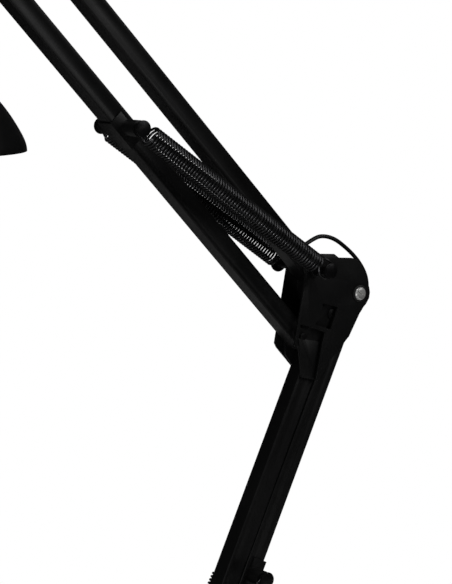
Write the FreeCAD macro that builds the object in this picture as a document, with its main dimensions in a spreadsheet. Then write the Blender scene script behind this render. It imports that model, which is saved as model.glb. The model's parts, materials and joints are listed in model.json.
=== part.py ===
import FreeCAD, Part
import math
import os
import Sketcher

Vector = FreeCAD.Vector
Rotation = FreeCAD.Rotation
Placement = FreeCAD.Placement

doc = FreeCAD.newDocument("DeskLamp")

# Driving dimensions, millimetres and degrees.
sheet = doc.addObject("Spreadsheet::Sheet", "Sizes")
cellList = [
    ("armLength", 380.0), ("barWidth", 14.0), ("barWall", 1.2), ("barCorner", 1.0),
    ("barOverhang", 7.0), ("pinRadius", 3.0), ("pinFit", 0.05), ("smallPinRadius", 2.5),
    ("plateGap", 10.45), ("plateThick", 1.5), ("washerRadius", 6.5), ("washerGap", 0.15),
    ("guideGap", 7.3), ("guideThick", 1.0), ("guidePanel", 2.1),
    ("springOffset", 23.0), ("springRadius", 7.4), ("springBore", 5.64), ("wireRadius", 0.88),
    ("studReach", 31.5), ("studHeadRadius", 5.6), ("studHeadThick", 3.0),
    ("screwHeadRadius", 4.75), ("screwHeadThick", 1.6), ("headWasher", 0.8), ("nutRadius", 5.0), ("nutThick", 3.2),
    ("lowerAngle", 64.3), ("upperAngle", 133.8),
    ("baseRadius", 95.0), ("baseEdge", 14.0), ("baseCrown", 24.0), ("coverWall", 1.6),
    ("weightRadius", 88.0), ("weightTop", 15.0), ("padThick", 3.0), ("padRadius", 86.0),
    ("postRadius", 7.0), ("socketRadius", 13.0), ("socketTop", 33.0),
    ("shadeRim", 78.0), ("shadeNeck", 27.0), ("shadeWall", 1.2), ("shadeHeight", 92.0),
    ("cableRadius", 1.5), ("sleeveRadius", 2.6), ("lowerAnchor", 165.0), ("upperAnchor", 211.0),
    ("hangRadius", 4.0), ("knobRadius", 11.0), ("inletRadius", 5.5),
]
value = {}
for row, (alias, number) in enumerate(cellList, start=1):
    sheet.set("A%d" % row, alias)
    sheet.set("B%d" % row, "%g" % number)
    sheet.setAlias("B%d" % row, alias)
    value[alias] = number
doc.recompute()


def size(alias):
    return float(sheet.get(alias))


# ---- drawing helpers -------------------------------------------------------
def makeBody(label):
    body = doc.addObject("PartDesign::Body", label)
    body.Label = label
    return body


def originPlane(body, role):
    for feature in body.Origin.OriginFeatures:
        if feature.Role == role:
            return feature
    raise RuntimeError("no plane " + role)


def addSketch(body, role, lift=0.0):
    sketch = body.newObject("Sketcher::SketchObject", body.Name + "Sketch")
    sketch.AttachmentSupport = [(originPlane(body, role), "")]
    sketch.MapMode = "FlatFace"
    sketch.AttachmentOffset = Placement(Vector(0, 0, lift), Rotation())
    return sketch


def amount(entry):
    if isinstance(entry, str):
        text = entry
        for alias in sorted(value, key=len, reverse=True):
            text = text.replace(alias, "%r" % value[alias])
        total = 0.0
        for term in text.replace("-", "+-").split("+"):
            term = term.strip()
            if not term:
                continue
            product = 1.0
            sign = 1.0
            if term.startswith("-"):
                sign = -1.0
                term = term[1:].strip()
            for factor in term.split("*"):
                product *= float(factor)
            total += sign * product
        return total
    return float(entry)


def bound(entry):
    text = entry
    for alias in sorted(value, key=len, reverse=True):
        text = text.replace(alias, "Sizes.@%d@" % list(value).index(alias))
    for number, alias in enumerate(value):
        text = text.replace("@%d@" % number, alias)
    return text


def drawOutline(sketch, points):
    first = sketch.GeometryCount
    corners = [Vector(amount(a), amount(b), 0) for a, b in points]
    count = len(corners)
    for number in range(count):
        sketch.addGeometry(Part.LineSegment(corners[number], corners[(number + 1) % count]), False)
    for number in range(count):
        sketch.addConstraint(Sketcher.Constraint(
            "Coincident", first + number, 2, first + (number + 1) % count, 1))
    for number, (across, up) in enumerate(points):
        if isinstance(across, str) and abs(amount(across)) > 1e-6:
            index = sketch.addConstraint(Sketcher.Constraint(
                "DistanceX", -1, 1, first + number, 1, amount(across)))
            sketch.setExpression("Constraints[%d]" % index, bound(across))
        if isinstance(up, str) and abs(amount(up)) > 1e-6:
            index = sketch.addConstraint(Sketcher.Constraint(
                "DistanceY", -1, 1, first + number, 1, amount(up)))
            sketch.setExpression("Constraints[%d]" % index, bound(up))


def drawCircle(sketch, across, up, radius):
    index = sketch.addGeometry(
        Part.Circle(Vector(amount(across), amount(up), 0), Vector(0, 0, 1), amount(radius)), False)
    if isinstance(radius, str):
        rule = sketch.addConstraint(Sketcher.Constraint("Radius", index, amount(radius)))
        sketch.setExpression("Constraints[%d]" % rule, bound(radius))


def pad(body, sketch, length, middle=False):
    feature = body.newObject("PartDesign::Pad", body.Name + "Pad")
    feature.Profile = sketch
    if middle:
        feature.SideType = "Symmetric"
    feature.Length = amount(length)
    if isinstance(length, str):
        feature.setExpression("Length", bound(length))
    sketch.Visibility = False
    return feature


def pocket(body, sketch, length, middle=False, reverse=False):
    feature = body.newObject("PartDesign::Pocket", body.Name + "Pocket")
    feature.Profile = sketch
    if middle:
        feature.SideType = "Symmetric"
    feature.Length = amount(length)
    if isinstance(length, str):
        feature.setExpression("Length", bound(length))
    feature.Reversed = reverse
    return feature


def turned(label, points, place):
    body = makeBody(label)
    sketch = addSketch(body, "XZ_Plane")
    drawOutline(sketch, points)
    feature = body.newObject("PartDesign::Revolution", label + "Turn")
    feature.Profile = sketch
    feature.ReferenceAxis = (sketch, ["V_Axis"])
    feature.Angle = 360.0
    body.Placement = place
    return body


def plateLift(near, inner, thick):
    # Offset along a sketch normal that points to -Y.
    return inner if near else -inner - thick


def alongY(across, start, up):
    return Placement(Vector(across, start, up), Rotation(Vector(1, 0, 0), -90))


def pin(label, radius, length, across, up, start=None):
    item = doc.addObject("Part::Cylinder", label)
    item.Label = label
    item.Radius = amount(radius)
    item.Height = amount(length)
    if isinstance(radius, str):
        item.setExpression("Radius", bound(radius))
    if isinstance(length, str):
        item.setExpression("Height", bound(length))
    begin = -amount(length) / 2.0 if start is None else start
    item.Placement = alongY(across, begin, up)
    return item


def ring(outer, bore, thick):
    shape = Part.makeCylinder(outer, thick)
    return shape.cut(Part.makeCylinder(bore, thick + 2.0, Vector(0, 0, -1)))


def placed(shape, place):
    copy = shape.copy()
    copy.Placement = place.multiply(copy.Placement)
    return copy


def group(label, shapes, place=None):
    item = doc.addObject("Part::Feature", label)
    item.Label = label
    item.Shape = shapes[0] if len(shapes) == 1 else Part.makeCompound(shapes)
    if place is not None:
        item.Placement = place
    return item


def direction(angle):
    return Vector(math.cos(math.radians(angle)), 0, math.sin(math.radians(angle)))


def armPlace(pivot, angle):
    return Placement(pivot, Rotation(Vector(0, 1, 0), -angle))


# ---- where the pivots lie --------------------------------------------------
lowerWay = direction(size("lowerAngle"))
upperWay = direction(size("upperAngle"))
baseRear = Vector(10.1, 0, 84.0)
lowerLink = Vector(-22.9, 0, -13.4)
baseFront = baseRear + lowerLink
elbowRear = baseRear + lowerWay * size("armLength")
elbowFront = elbowRear + lowerLink
elbowFrame = elbowRear - Vector(1.2, 0, -0.6)
bottomPivot = elbowFrame + Vector(-48.0, 0, -28.0)
topPivot = elbowFrame + Vector(-40.4, 0, 20.3)
headBottom = bottomPivot + upperWay * size("armLength")
headTop = topPivot + upperWay * size("armLength")
upperAnchorPoint = bottomPivot + upperWay * size("upperAnchor")
lowerAnchorPoint = baseRear + lowerWay * size("lowerAnchor")
parts = []


def keep(item):
    parts.append(item)
    return item


# ---- base: cover, weight, pad, socket, inlet -------------------------------
keep(turned("base_cover", [
    ("socketRadius+0.1", "baseCrown"), ("socketRadius+17", "baseCrown-0.6"), (60.0, 20.6), (84.0, 16.4),
    ("baseRadius-3.2", "baseEdge-1.0"), ("baseRadius-0.9", "baseEdge-3.4"), ("baseRadius", "baseEdge-6.2"),
    ("baseRadius", 1.4), ("baseRadius-0.5", 0.9), ("baseRadius-coverWall", 0.9),
    ("baseRadius-coverWall", "baseEdge-6.4"), ("baseRadius-coverWall-0.8", "baseEdge-4.4"),
    ("baseRadius-4.4", "baseEdge-2.6"), (83.7, 14.8), (59.8, 19.0),
    ("socketRadius+17", "baseCrown-2.2"), ("socketRadius+0.1", "baseCrown-1.6")], Placement()))
weight = keep(turned("base_weight", [
    ("socketRadius+0.1", "padThick"), ("weightRadius", "padThick"), ("weightRadius", 11.0),
    ("weightRadius-5.0", 13.4), (60.0, 17.6), (36.0, 20.0), ("socketRadius+0.1", 20.4)], Placement()))
keep(turned("base_pad", [
    (0.0, 0.0), ("padRadius-0.6", 0.0), ("padRadius", 0.6), ("padRadius", "padThick"), (0.0, "padThick")],
    Placement()))
keep(turned("base_socket", [
    ("postRadius+0.06", "padThick+2.0"), ("socketRadius", "padThick+2.0"), ("socketRadius", "baseCrown"),
    ("socketRadius+5.0", "baseCrown"), ("socketRadius+5.0", "baseCrown+1.4"),
    ("socketRadius+1.0", "socketTop-0.8"), ("socketRadius+0.2", "socketTop"),
    ("postRadius+0.06", "socketTop")], Placement()))

# A low-voltage inlet sits in the back of the cover, level with its edge.
inletPlace = Placement(Vector(size("baseRadius") - 9.0, 0, 7.2), Rotation(Vector(0, 1, 0), 90))
cover = doc.getObject("base_cover")
inletHole = addSketch(cover, "YZ_Plane", size("baseRadius") - 12.0)
drawCircle(inletHole, 0, 7.2, "inletRadius+0.05")
inletCut = pocket(cover, inletHole, 20.0, reverse=True)
inletNotch = addSketch(weight, "YZ_Plane", 74.0)
drawOutline(inletNotch, [(-8.0, 2.0), (8.0, 2.0), (8.0, 19.0), (-8.0, 19.0)])
weightCut = pocket(weight, inletNotch, 20.0, reverse=True)
keep(turned("power_inlet", [
    (2.8, 10.4), (2.8, 1.6), (1.0, 1.6), (1.0, 8.4), (0.6, 9.0), (0.0, 9.0), (0.0, 0.0), ("inletRadius", 0.0),
    ("inletRadius", 9.3), ("inletRadius+1.2", 9.3), ("inletRadius+1.2", 10.0), ("inletRadius+0.8", 10.4)],
    inletPlace))

# ---- turntable: hollow post and the channel that carries the lower arm ----
keep(turned("swivel_post", [
    (3.0, 7.0), ("postRadius", 7.0), ("postRadius", "socketTop+0.3"), (19.0, "socketTop+0.3"),
    (20.0, "socketTop+1.2"), (20.0, "socketTop+4.0"), (19.0, "socketTop+5.0"), (3.0, "socketTop+5.0")],
    Placement()))
floorLevel = size("socketTop") + 5.0
plateThick = size("plateThick")
plateGap = size("plateGap")


def channel(label, outline, holes, webs, place, farOutline=None, windows=()):
    # Two side plates joined by one or more crosswise webs.
    body = makeBody(label)
    body.Placement = place
    for near in (True, None, False):
        if near is None:
            for web in webs:
                sketch = addSketch(body, "XZ_Plane")
                drawOutline(sketch, web)
                pad(body, sketch, "2*plateGap+2*plateThick", middle=True)
            continue
        sketch = addSketch(body, "XZ_Plane", plateLift(near, plateGap, plateThick))
        drawOutline(sketch, outline if near or farOutline is None else farOutline)
        for across, up, radius in holes:
            drawCircle(sketch, across, up, radius)
        if near:
            for window in windows:
                drawOutline(sketch, window)
        pad(body, sketch, "plateThick")
    return body


baseOutline = [
    (-25.0, floorLevel), (30.0, floorLevel), (30.5, 56.0), (24.5, 82.0), (21.0, 90.5), (15.0, 95.0),
    (8.0, 96.3), (0.0, 94.0), (-8.0, 88.0), (-21.0, 80.0), (-24.5, 72.0), (-25.0, 62.0)]
baseWeb = [(-25.0, floorLevel), (30.0, floorLevel), (30.0, floorLevel + 1.5), (-25.0, floorLevel + 1.5)]
baseBracket = keep(channel(
    "base_bracket", baseOutline,
    [(baseRear.x, baseRear.z, "pinRadius"), (baseFront.x, baseFront.z, "pinRadius")],
    [baseWeb], Placement()))
passage = addSketch(baseBracket, "XY_Plane", floorLevel - 2.0)
drawCircle(passage, 0, 0, 4.0)
pocket(baseBracket, passage, 6.0, reverse=True)

# ---- bars ------------------------------------------------------------------
half = size("barWidth") / 2.0
inside = half - size("barWall")


def roundedSquare(sketch, reach, corner):
    side = reach - corner
    first = sketch.GeometryCount
    places = [(1, 1), (-1, 1), (-1, -1), (1, -1)]
    ends = [(Vector(side, -reach, 0), Vector(-side, -reach, 0)), (Vector(-reach, -side, 0), Vector(-reach, side, 0)),
            (Vector(-side, reach, 0), Vector(side, reach, 0)), (Vector(reach, side, 0), Vector(reach, -side, 0))]
    for begin, finish in ends:
        sketch.addGeometry(Part.LineSegment(begin, finish), False)
    for number, (signA, signB) in enumerate(places):
        centre = Vector(side * signA, side * signB, 0)
        circle = Part.Circle(centre, Vector(0, 0, 1), corner)
        start = math.radians(90.0 * number)
        sketch.addGeometry(Part.ArcOfCircle(circle, start, start + math.pi / 2.0), False)
    joins = [(0, 2, 6, 2), (1, 1, 6, 1), (1, 2, 5, 2), (2, 1, 5, 1), (2, 2, 4, 2), (3, 1, 4, 1),
             (3, 2, 7, 2), (0, 1, 7, 1)]
    for lineNumber, lineEnd, arcNumber, arcEnd in joins:
        sketch.addConstraint(Sketcher.Constraint(
            "Coincident", first + lineNumber, lineEnd, first + arcNumber, arcEnd))
    for axis, lineNumber, name in (("DistanceY", 0, "-"), ("DistanceX", 1, "-"), ("DistanceY", 2, ""),
                                   ("DistanceX", 3, "")):
        pass
    return first


def makeBar(label, pivot, angle, extraHoles, sleeveHoles):
    body = makeBody(label)
    profile = addSketch(body, "YZ_Plane", -size("barOverhang"))
    roundedSquare(profile, half, size("barCorner"))
    roundedSquare(profile, inside, 0.4)
    pad(body, profile, "armLength+2*barOverhang")
    holes = addSketch(body, "XZ_Plane")
    drawCircle(holes, 0, 0, "pinRadius+pinFit")
    drawCircle(holes, "armLength", 0, "pinRadius+pinFit")
    for distance, radius in extraHoles:
        drawCircle(holes, distance, 0, radius)
    pocket(body, holes, "2*barWidth", middle=True)
    body.Placement = armPlace(pivot, angle)
    if not sleeveHoles:
        return body
    cutter = doc.addObject("Part::Feature", label + "Ways")
    tools = []
    for point, way in sleeveHoles:
        tools.append(Part.makeCylinder(size("sleeveRadius") + 0.03, 9.0, point - way * 4.0, way))
    cutter.Shape = Part.makeCompound(tools)
    cut = doc.addObject("Part::Cut", label + "Cut")
    cut.Base = body
    cut.Tool = cutter
    body.Label = label + "_blank"
    cut.Label = label
    return cut


def onBar(pivot, angle, along, out):
    # A point at a distance along a bar and out from its centre line; out is to the bar's -z side.
    way = direction(angle)
    side = Vector(way.z, 0, -way.x)
    return pivot + way * along + side * out


lowerAngle = size("lowerAngle")
upperAngle = size("upperAngle")
elbowExit = onBar(topPivot, upperAngle, 12.4, 6.6)
elbowEntry = onBar(baseRear, lowerAngle, size("armLength") - 26.0, 6.6)
headExit = onBar(topPivot, upperAngle, size("armLength") - 26.0, 6.6)
baseExit = onBar(baseRear, lowerAngle, 27.0, 6.6)
elbowExitWay = Vector(0.86, 0, 0.51).normalize()
elbowEntryWay = Vector(0.86, 0, 0.51).normalize()
headExitWay = Vector(-0.28, 0, 0.96).normalize()
baseExitWay = Vector(0.93, 0, -0.36).normalize()

keep(makeBar("rear_bar", baseRear, lowerAngle, [("lowerAnchor", "smallPinRadius+0.02")],
             [(elbowEntry, elbowEntryWay), (baseExit, baseExitWay)]))
keep(makeBar("front_bar", baseFront, lowerAngle, [], []))
keep(makeBar("bottom_bar", bottomPivot, upperAngle, [("upperAnchor", "smallPinRadius+0.02")], []))
keep(makeBar("top_bar", topPivot, upperAngle, [],
             [(elbowExit, elbowExitWay), (headExit, headExitWay)]))


def endPlugs(label, pivot, angle):
    shapes = []
    for along in (-size("barOverhang"), size("armLength") + size("barOverhang") - 3.0):
        shapes.append(Part.makeBox(3.0, 2 * inside, 2 * inside, Vector(along, -inside, -inside)))
        shapes[-1] = shapes[-1].makeFillet(0.4, [e for e in shapes[-1].Edges
                                                if abs(e.Vertexes[0].X - e.Vertexes[1].X) > 1.0])
    return group(label, shapes, armPlace(pivot, angle))


for label, pivot, angle in (("rear_bar_plugs", baseRear, lowerAngle), ("front_bar_plugs", baseFront, lowerAngle),
                            ("bottom_bar_plugs", bottomPivot, upperAngle), ("top_bar_plugs", topPivot, upperAngle)):
    keep(endPlugs(label, pivot, angle))


def sleeves(label, places):
    shapes = []
    for point, way in places:
        tube = Part.makeCylinder(size("sleeveRadius"), 5.0, point - way * 2.6, way)
        shapes.append(tube.cut(Part.makeCylinder(size("cableRadius"), 9.0, point - way * 4.6, way)))
    return group(label, shapes)


keep(sleeves("rear_bar_sleeves", [(elbowEntry, elbowEntryWay), (baseExit, baseExitWay)]))
keep(sleeves("top_bar_sleeves", [(elbowExit, elbowExitWay), (headExit, headExitWay)]))

# ---- elbow -----------------------------------------------------------------
elbowPlace = Placement(elbowFrame, Rotation())
outline = [
    (-47.6, 19.6), (-33.9, 30.5), (-22.3, 29.6), (-18.2, 26.7), (-6.0, 25.7), (-1.8, 24.4), (1.6, 21.4),
    (5.3, 15.6), (8.2, 8.8), (10.4, 3.0), (11.0, -0.6), (10.3, -4.6), (7.5, -8.6), (2.8, -12.8),
    (-0.1, -17.7), (-2.7, -21.9), (-8.2, -31.0), (-11.0, -33.4), (-18.3, -40.8), (-27.5, -48.2),
    (-32.0, -55.7), (-36.6, -60.6), (-38.5, -59.6), (-32.7, -32.5), (-30.5, -26.0), (-45.0, -20.6),
    (-52.6, -18.6), (-55.8, -34.4), (-58.2, -34.6)]
farOutline = outline[:22] + [(-41.9, -53.0), (-56.4, -37.4), (-58.2, -34.0)]

web = [(-38.5, -3.0), (-37.0, -3.0), (-37.0, 9.5), (-38.5, 9.5)]
keep(channel(
    "elbow_bracket", outline,
    [(1.2, -0.6, "pinRadius"), (-40.4, 20.3, "pinRadius")], [web], elbowPlace, farOutline,
    [[(-32.0, -4.9), (-18.9, -8.8), (-25.5, -24.4), (-39.5, -19.9)]]))

guideOutline = [
    (-28.0, 2.5), (-18.0, 1.5), (-15.5, -8.0), (-16.0, -20.0), (-26.0, -34.0), (-35.6, -60.5),
    (-49.2, -56.9), (-52.4, -30.0), (-54.2, -24.0), (-50.0, -20.9), (-38.0, -19.6), (-33.0, -5.0)]
panelOutline = [(-52.4, -28.7), (-31.9, -33.2), (-35.6, -60.5), (-49.2, -56.9)]
cropped = [(-40.5, -59.2), (-43.5, -52.7), (-50.9, -42.5)]
for near, label in ((True, "near_guide"), (False, "far_guide")):
    guide = makeBody(label)
    guide.Placement = elbowPlace
    # The far guide has its lower corner cut off, as its plate has.
    plates = (("guideThick", guideOutline), ("guidePanel", panelOutline))
    if not near:
        plates = (("guideThick", guideOutline[:6] + cropped + guideOutline[7:]),
                  ("guidePanel", panelOutline[:3] + cropped))
    for thick, points in plates:
        sketch = addSketch(guide, "XZ_Plane", plateLift(near, size("guideGap"), amount(thick)))
        drawOutline(sketch, points)
        pad(guide, sketch, thick)
    boss = addSketch(guide, "XZ_Plane", plateLift(near, size("guideGap"), plateGap - size("guideGap")))
    drawCircle(boss, -29.7, -36.6, 2.0)
    drawCircle(boss, -23.0, -1.5, 2.0)
    pad(guide, boss, "plateGap-guideGap")
    holes = addSketch(guide, "XZ_Plane")
    drawCircle(holes, -48.0, -28.0, "smallPinRadius")
    drawCircle(holes, -21.7, -14.0, "smallPinRadius")
    pocket(guide, holes, "4*plateGap", middle=True)
    keep(guide)


def washers(label, points, extra=(), reach=plateGap):
    outer = size("washerRadius")
    shapes = list(extra)
    thick = reach - half - size("washerGap")
    for point in points:
        for start in (half + size("washerGap"), -reach):
            piece = ring(outer, size("pinRadius"), thick)
            shapes.append(placed(piece, alongY(point.x, start, point.z)))
    return group(label, shapes)


underHead = placed(ring(6.2, size("pinRadius"), size("headWasher")),
                   alongY(elbowRear.x, -plateGap - plateThick - size("headWasher"), elbowRear.z))
keep(washers("elbow_washers", [elbowRear, topPivot], [underHead]))
keep(washers("base_washers", [baseRear, baseFront]))
keep(washers("head_washers", [headBottom, headTop]))

plateOut = plateGap + plateThick


def shaftPiece(label, steps, across, up):
    # A turned pin along Y from (radius, low, high) steps.
    shapes = [Part.makeCylinder(radius, high - low, Vector(0, 0, low)) for radius, low, high in steps]
    whole = shapes[0]
    for shape in shapes[1:]:
        whole = whole.fuse(shape)
    return group(label, [whole.removeSplitter()], alongY(across, 0.0, up))


# The elbow screw: a slotted pan head on the near side and a nut on the far side.
headRadius = size("screwHeadRadius")
screw = makeBody("elbow_screw")
screwSketch = addSketch(screw, "XZ_Plane")
drawOutline(screwSketch, [
    (0.0, "-plateGap-plateThick-headWasher-screwHeadThick"),
    ("screwHeadRadius-1.3", "-plateGap-plateThick-headWasher-screwHeadThick"),
    ("screwHeadRadius-0.3", "-plateGap-plateThick-headWasher-0.9"),
    ("screwHeadRadius", "-plateGap-plateThick-headWasher-0.3"),
    ("screwHeadRadius", "-plateGap-plateThick-headWasher"), ("pinRadius", "-plateGap-plateThick-headWasher"),
    ("pinRadius", "plateGap+plateThick+nutThick+1.0"), (0.0, "plateGap+plateThick+nutThick+1.0")])
screwTurn = screw.newObject("PartDesign::Revolution", "elbowScrewTurn")
screwTurn.Profile = screwSketch
screwTurn.ReferenceAxis = (screwSketch, ["V_Axis"])
screwTurn.Angle = 360.0
slot = addSketch(screw, "XY_Plane", -plateOut - size("headWasher") - size("screwHeadThick") + 0.8)
drawOutline(slot, [(-6.0, -0.55), (6.0, -0.55), (6.0, 0.55), (-6.0, 0.55)])
slotCut = pocket(screw, slot, 3.0)
screw.Placement = alongY(elbowRear.x, 0.0, elbowRear.z).multiply(Placement(Vector(), Rotation(Vector(0, 0, 1), 35)))
keep(screw)


def hexNut(label, places):
    shapes = []
    for across, start, up in places:
        corners = [Vector(size("nutRadius") / math.cos(math.pi / 6) * math.cos(math.pi / 3 * k),
                          size("nutRadius") / math.cos(math.pi / 6) * math.sin(math.pi / 3 * k), 0) for k in range(7)]
        block = Part.Face(Part.makePolygon(corners)).extrude(Vector(0, 0, size("nutThick")))
        block = block.cut(Part.makeCylinder(size("pinRadius"), 9.0, Vector(0, 0, -1)))
        shapes.append(placed(block, alongY(across, start, up)))
    return group(label, shapes)


smallPin = size("smallPinRadius")


def rivets(label, pieces):
    shapes = []
    for across, up, steps in pieces:
        whole = None
        for radius, low, high in steps:
            step = Part.makeCylinder(radius, high - low, Vector(0, 0, low))
            whole = step if whole is None else whole.fuse(step)
        shapes.append(placed(whole.removeSplitter(), alongY(across, 0.0, up)))
    return group(label, shapes)


keep(rivets("elbow_rivets", [
    (elbowFront.x, elbowFront.z, [(smallPin, -8.3, 8.3), (3.6, -9.1, -8.3), (3.6, 8.3, 9.1)]),
    (bottomPivot.x, bottomPivot.z, [(smallPin, -9.4, 9.4)])]))


def springStud(label, across, up):
    reach = size("studReach")
    headIn = reach - size("studHeadThick")
    return shaftPiece(label, [
        (size("pinRadius"), -headIn, headIn), (size("studHeadRadius"), headIn, reach - 0.8),
        (size("studHeadRadius") - 0.7, reach - 0.8, reach), (size("studHeadRadius"), -reach + 0.8, -headIn),
        (size("studHeadRadius") - 0.7, -reach, -reach + 0.8)], across, up)


keep(springStud("upper_spring_stud", topPivot.x, topPivot.z))
keep(springStud("lower_spring_stud", baseFront.x, baseFront.z))
keep(hexNut("elbow_nuts", [
    (topPivot.x, plateOut, topPivot.z), (topPivot.x, -plateOut - size("nutThick"), topPivot.z),
    (elbowRear.x, plateOut, elbowRear.z)]))
keep(hexNut("base_stud_nuts", [
    (baseFront.x, plateOut, baseFront.z), (baseFront.x, -plateOut - size("nutThick"), baseFront.z)]))


boltSteps = [
    (size("pinRadius"), -plateOut, plateOut), (headRadius, -plateOut - 1.4, -plateOut),
    (headRadius - 0.9, -plateOut - 2.0, -plateOut - 1.4), (headRadius, plateOut, plateOut + 1.4),
    (headRadius - 0.9, plateOut + 1.4, plateOut + 2.0)]
keep(rivets("base_pivot_bolt", [(baseRear.x, baseRear.z, boltSteps)]))
keep(rivets("head_pivot_bolts", [(headBottom.x, headBottom.z, boltSteps), (headTop.x, headTop.z, boltSteps)]))

# ---- springs ---------------------------------------------------------------
def saddle(label, pivot, angle, along, crown=1):
    # A folded clip that wraps the bar at the anchor pin, with a spacer on each side under the spring.
    outer = half + 1.2
    low, high = (-outer + 5.0, outer) if crown > 0 else (-outer, outer - 5.0)
    block = Part.makeBox(24.0, 2 * outer, high - low, Vector(along - 12.0, -outer, low))
    inner = Vector(along - 15.0, -half, -half - 9.0 if crown > 0 else -half)
    block = block.cut(Part.makeBox(30.0, 2 * half, 2 * half + 9.0, inner))
    spacer = Part.makeCylinder(5.5, 42.0, Vector(along, -21.0, 0), Vector(0, 1, 0))
    spacer = spacer.cut(Part.makeBox(30.0, 2 * half, 30.0, Vector(along - 15.0, -half, -15.0)))
    block = block.fuse(spacer)
    block = block.cut(Part.makeCylinder(smallPin, 50.0, Vector(along, -25, 0), Vector(0, 1, 0)))
    return group(label, [block.removeSplitter()], armPlace(pivot, angle))


keep(saddle("upper_saddle", bottomPivot, upperAngle, size("upperAnchor")))
keep(saddle("lower_saddle", baseRear, lowerAngle, size("lowerAnchor"), -1))


def anchorPin(label, point):
    reach = 26.1
    return shaftPiece(label, [(smallPin, -reach + 1.4, reach - 1.4), (5.6, reach - 1.4, reach),
                              (5.6, -reach, -reach + 1.4)], point.x, point.z)


keep(anchorPin("upper_anchor_pin", upperAnchorPoint))
keep(anchorPin("lower_anchor_pin", lowerAnchorPoint))


def springSet(prefix, stud, anchor, studRadius):
    # A coiled body and a hook at each end; the hooks lie round the stud and the anchor pin.
    way = anchor - stud
    length = way.Length
    angle = math.degrees(math.atan2(way.z, way.x))
    wire = size("wireRadius")
    turn = armPlace(Vector(0, 0, 0), angle)
    bodyStart = 9.5
    bodyEnd = length - 8.0
    loopRadius = 6.2
    loopShift = loopRadius - wire - studRadius - 0.05
    loopOut = 4.2
    coil = Part.makeCylinder(size("springRadius"), bodyEnd - bodyStart, Vector(bodyStart, 0, 0), Vector(1, 0, 0))
    coil = coil.cut(Part.makeCylinder(size("springBore"), length, Vector(0, 0, 0), Vector(1, 0, 0)))
    hookRadius = smallPin + wire + 0.1
    hook = Part.makeTorus(hookRadius, wire, Vector(length, 0, 0), Vector(0, 1, 0))
    hooks = hook.fuse(Part.makeCylinder(wire, length - hookRadius - bodyEnd - 0.2, Vector(bodyEnd + 0.2, 0, 0),
                                        Vector(1, 0, 0)))
    for side, name in ((-1, "near"), (1, "far")):
        # The loop round the stud stands towards the coil's outer side, and a short leg joins them.
        studLoop = Part.makeTorus(loopRadius, wire, Vector(loopShift, side * loopOut, 0), Vector(0, 1, 0))
        leg = Part.makeCylinder(0.75 * wire, bodyStart - 5.6, Vector(6.2, side * loopOut, 4.6), Vector(1, 0, 0))
        spring = coil.fuse(studLoop).fuse(leg)
        place = Placement(Vector(stud.x, side * size("springOffset"), stud.z), turn.Rotation)
        keep(group("%s_%s_spring" % (prefix, name), [placed(spring, place)]))
    both = [placed(hooks, Placement(Vector(stud.x, side * size("springOffset"), stud.z), turn.Rotation))
            for side in (-1, 1)]
    keep(group(prefix + "_spring_hooks", both))


springSet("upper", topPivot, upperAnchorPoint, size("pinRadius"))
springSet("lower", baseFront, lowerAnchorPoint, size("pinRadius"))

# ---- head bracket ----------------------------------------------------------
hb = headBottom
headOutline = [
    (-14.0, -9.0), (-9.0, -12.5), (8.0, -12.0), (12.5, -6.0), (13.5, 10.0), (17.5, 40.0), (18.5, 52.0),
    (13.0, 59.0), (3.0, 60.0), (-5.0, 56.0), (-14.0, 34.0)]
headWeb = [(-14.0, 4.0), (-12.5, 4.0), (-12.5, 34.0), (-14.0, 34.0)]
headPlace = Placement(hb, Rotation())
keep(channel("head_bracket", headOutline, [(0.0, 0.0, "pinRadius"), (7.6, 48.3, "pinRadius")],
             [headWeb], headPlace))

# The shelf is a folded angle riveted to the bracket's back; the spindle hangs through it.
shelf = makeBody("head_shelf")
shelf.Placement = headPlace
shelfSketch = addSketch(shelf, "XZ_Plane")
drawOutline(shelfSketch, [(-14.0, 8.0), (-14.0, 30.0), (-16.5, 30.0), (-16.5, 10.5), (-60.0, 10.5), (-60.0, 8.0)])
pad(shelf, shelfSketch, "2*plateGap", middle=True)
shelfHole = addSketch(shelf, "XY_Plane", 5.0)
drawCircle(shelfHole, -46.0, 0, "hangRadius+pinFit")
pocket(shelf, shelfHole, 9.0, reverse=True)
keep(shelf)
turnAxis = Vector(hb.x - 46.0, 0, 0)
shelfLow = hb.z + 8.0
shelfHigh = hb.z + 10.5
tiltUp = shelfLow - 34.0
keep(turned("head_spindle", [
    (1.9, -16.0), (9.0, -16.0), (10.0, -15.0), (10.0, -1.6), (9.4, -1.0), ("hangRadius", -1.0),
    ("hangRadius", 9.0), (1.9, 9.0)], Placement(Vector(turnAxis.x, 0, shelfLow), Rotation())))
nutCorners = [Vector(7.5 * math.cos(math.pi / 3 * k), 7.5 * math.sin(math.pi / 3 * k), 0) for k in range(7)]
spindleNut = Part.Face(Part.makePolygon(nutCorners)).extrude(Vector(0, 0, 4.0))
spindleNut = spindleNut.cut(Part.makeCylinder(size("hangRadius"), 9.0, Vector(0, 0, -1)))
keep(group("spindle_nut_set", [
    placed(ring(8.5, size("hangRadius"), 0.8), Placement(Vector(turnAxis.x, 0, shelfLow - 0.9), Rotation())),
    placed(ring(7.5, size("hangRadius"), 1.0), Placement(Vector(turnAxis.x, 0, shelfHigh + 0.1), Rotation())),
    placed(spindleNut, Placement(Vector(turnAxis.x, 0, shelfHigh + 1.1), Rotation()))]))

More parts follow.
